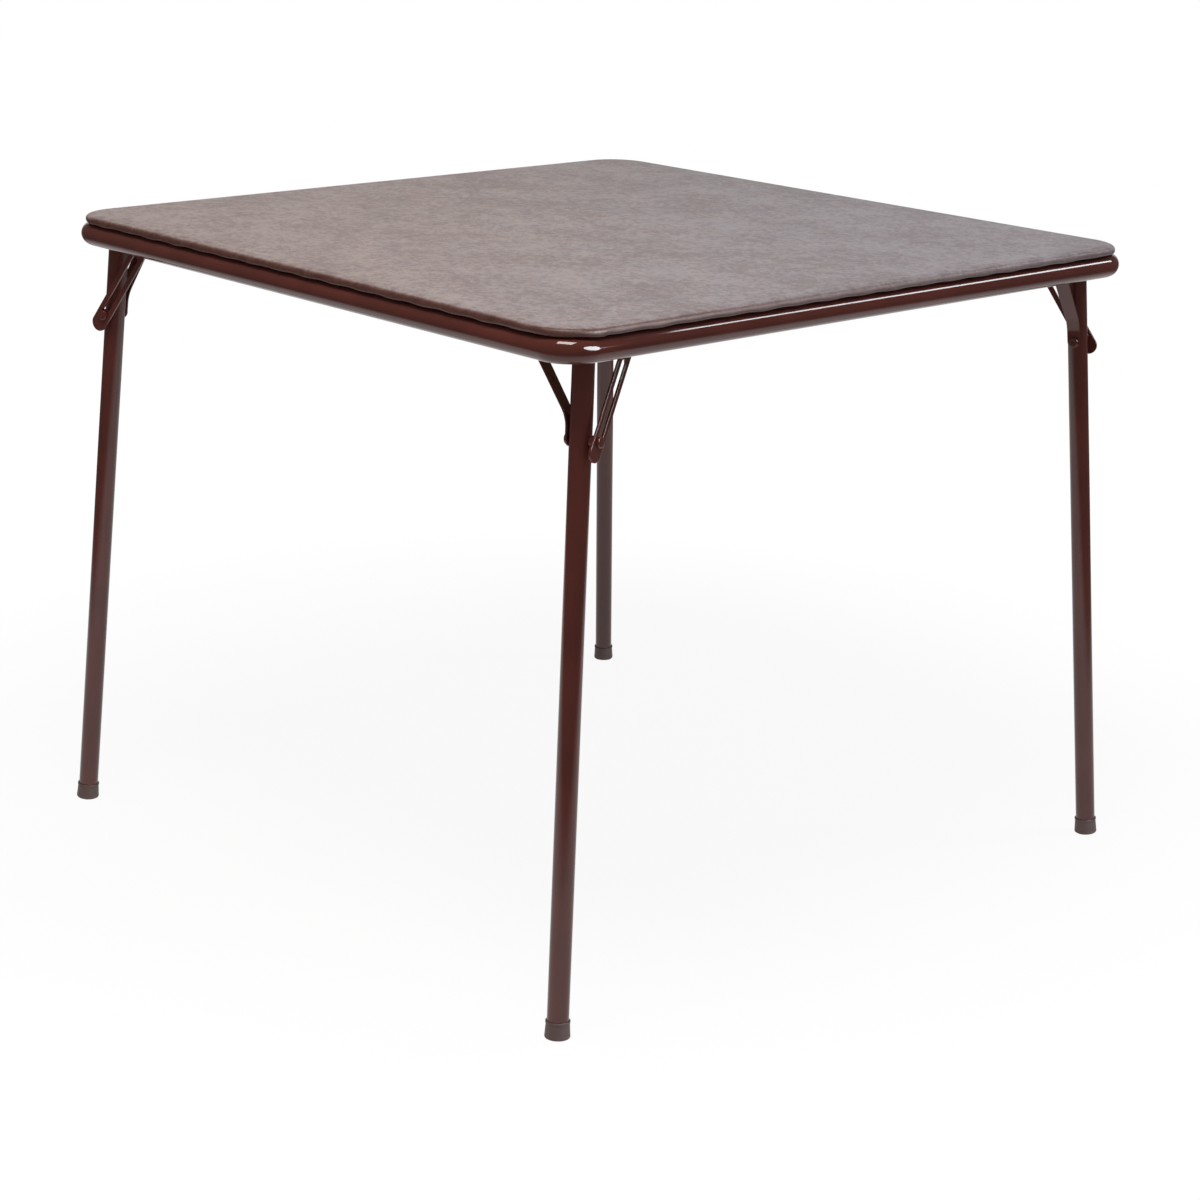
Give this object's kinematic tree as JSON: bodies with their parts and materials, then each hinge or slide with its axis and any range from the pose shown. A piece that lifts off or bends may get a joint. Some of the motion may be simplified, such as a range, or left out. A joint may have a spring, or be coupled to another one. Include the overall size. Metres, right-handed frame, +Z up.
{
  "type": "folding card table",
  "caption": "Square folding card table with a padded vinyl top on a round tube frame and splayed tube legs that fold flat under it on slotted links.",
  "frame": {"origin": "on the floor under the middle of the top", "axes": "+Z up, square to the top; X and Y along the frame's sides"},
  "size_m": [0.8784, 0.8784, 0.7058],
  "materials": {
    "vinyl": "satin grained vinyl",
    "foam": "soft open foam",
    "board": "plain pressed board",
    "wire": "bright wire",
    "foot_cap": "moulded, matt",
    "plated_steel": "zinc plated",
    "brown_enamel": "gloss baked enamel"
  },
  "bodies": {
    "table": {"top_cover": "vinyl", "foam_pad": "foam", "top_board": "board", "staples": "wire", "frame_tube": "brown_enamel", "frame_joint_sleeve": "plated_steel", "frame_screws": "plated_steel", "bracket_screws": "plated_steel", "front_link_stud": "brown_enamel", "front_hinge_rod": "plated_steel", "front_hinge_bracket": "brown_enamel", "right_link_stud": "brown_enamel", "right_hinge_rod": "plated_steel", "right_hinge_bracket": "brown_enamel", "back_link_stud": "brown_enamel", "back_hinge_rod": "plated_steel", "back_hinge_bracket": "brown_enamel", "left_link_stud": "brown_enamel", "left_hinge_rod": "plated_steel", "left_hinge_bracket": "brown_enamel"},
    "front_leg_body": {"front_leg": "brown_enamel", "front_foot": "foot_cap", "front_hinge_plug": "brown_enamel", "front_leg_strap": "brown_enamel", "front_leg_rivet": "brown_enamel"},
    "front_link_body": {"front_slotted_link": "brown_enamel"},
    "front_pin_body": {"front_slide_pin": "brown_enamel", "front_slide_collar": "brown_enamel"},
    "right_leg_body": {"right_leg": "brown_enamel", "right_foot": "foot_cap", "right_hinge_plug": "brown_enamel", "right_leg_strap": "brown_enamel", "right_leg_rivet": "brown_enamel"},
    "right_link_body": {"right_slotted_link": "brown_enamel"},
    "right_pin_body": {"right_slide_pin": "brown_enamel", "right_slide_collar": "brown_enamel"},
    "back_leg_body": {"back_leg": "brown_enamel", "back_foot": "foot_cap", "back_hinge_plug": "brown_enamel", "back_leg_strap": "brown_enamel", "back_leg_rivet": "brown_enamel"},
    "back_link_body": {"back_slotted_link": "brown_enamel"},
    "back_pin_body": {"back_slide_pin": "brown_enamel", "back_slide_collar": "brown_enamel"},
    "left_leg_body": {"left_leg": "brown_enamel", "left_foot": "foot_cap", "left_hinge_plug": "brown_enamel", "left_leg_strap": "brown_enamel", "left_leg_rivet": "brown_enamel"},
    "left_link_body": {"left_slotted_link": "brown_enamel"},
    "left_pin_body": {"left_slide_pin": "brown_enamel", "left_slide_collar": "brown_enamel"}
  },
  "joints": [
    {"name": "front_leg_fold", "type": "hinge", "parent": "table", "child": "front_leg_body", "pos_m": [0.3903, -0.3718, 0.681], "axis": [0.9559, 0.2922, 0.0297], "range_deg": [0, 94.8]},
    {"name": "front_link_swing", "type": "hinge", "parent": "table", "child": "front_link_body", "pos_m": [0.37495, -0.32159, 0.681], "axis": [0.9559, 0.2922, 0.0297], "range_deg": [0, 124.3]},
    {"name": "front_pin_slide", "type": "slide", "parent": "front_link_body", "child": "front_pin_body", "axis": [-0.1882, 0.5316, 0.8258], "range_m": [0, 0.0707]},
    {"name": "right_leg_fold", "type": "hinge", "parent": "table", "child": "right_leg_body", "pos_m": [0.3718, 0.3903, 0.681], "axis": [-0.2922, 0.9559, 0.0297], "range_deg": [0, 94.8]},
    {"name": "right_link_swing", "type": "hinge", "parent": "table", "child": "right_link_body", "pos_m": [0.32159, 0.37495, 0.681], "axis": [-0.2922, 0.9559, 0.0297], "range_deg": [0, 124.3]},
    {"name": "right_pin_slide", "type": "slide", "parent": "right_link_body", "child": "right_pin_body", "axis": [-0.5316, -0.1882, 0.8258], "range_m": [0, 0.0707]},
    {"name": "back_leg_fold", "type": "hinge", "parent": "table", "child": "back_leg_body", "pos_m": [-0.3903, 0.3718, 0.681], "axis": [-0.9559, -0.2922, 0.0297], "range_deg": [0, 94.8]},
    {"name": "back_link_swing", "type": "hinge", "parent": "table", "child": "back_link_body", "pos_m": [-0.37495, 0.32159, 0.681], "axis": [-0.9559, -0.2922, 0.0297], "range_deg": [0, 124.3]},
    {"name": "back_pin_slide", "type": "slide", "parent": "back_link_body", "child": "back_pin_body", "axis": [0.1882, -0.5316, 0.8258], "range_m": [0, 0.0707]},
    {"name": "left_leg_fold", "type": "hinge", "parent": "table", "child": "left_leg_body", "pos_m": [-0.3718, -0.3903, 0.681], "axis": [0.2922, -0.9559, 0.0297], "range_deg": [0, 94.8]},
    {"name": "left_link_swing", "type": "hinge", "parent": "table", "child": "left_link_body", "pos_m": [-0.32159, -0.37495, 0.681], "axis": [0.2922, -0.9559, 0.0297], "range_deg": [0, 124.3]},
    {"name": "left_pin_slide", "type": "slide", "parent": "left_link_body", "child": "left_pin_body", "axis": [0.5316, 0.1882, 0.8258], "range_m": [0, 0.0707]}
  ],
  "couplings": [
    {"joint": "front_link_swing", "follows": "front_leg_fold", "ratio": 1.3111},
    {"joint": "front_pin_slide", "follows": "front_leg_fold", "m_per_rad": 0.042708},
    {"joint": "right_link_swing", "follows": "right_leg_fold", "ratio": 1.3111},
    {"joint": "right_pin_slide", "follows": "right_leg_fold", "m_per_rad": 0.042708},
    {"joint": "back_link_swing", "follows": "back_leg_fold", "ratio": 1.3111},
    {"joint": "back_pin_slide", "follows": "back_leg_fold", "m_per_rad": 0.042708},
    {"joint": "left_link_swing", "follows": "left_leg_fold", "ratio": 1.3111},
    {"joint": "left_pin_slide", "follows": "left_leg_fold", "m_per_rad": 0.042708}
  ]
}
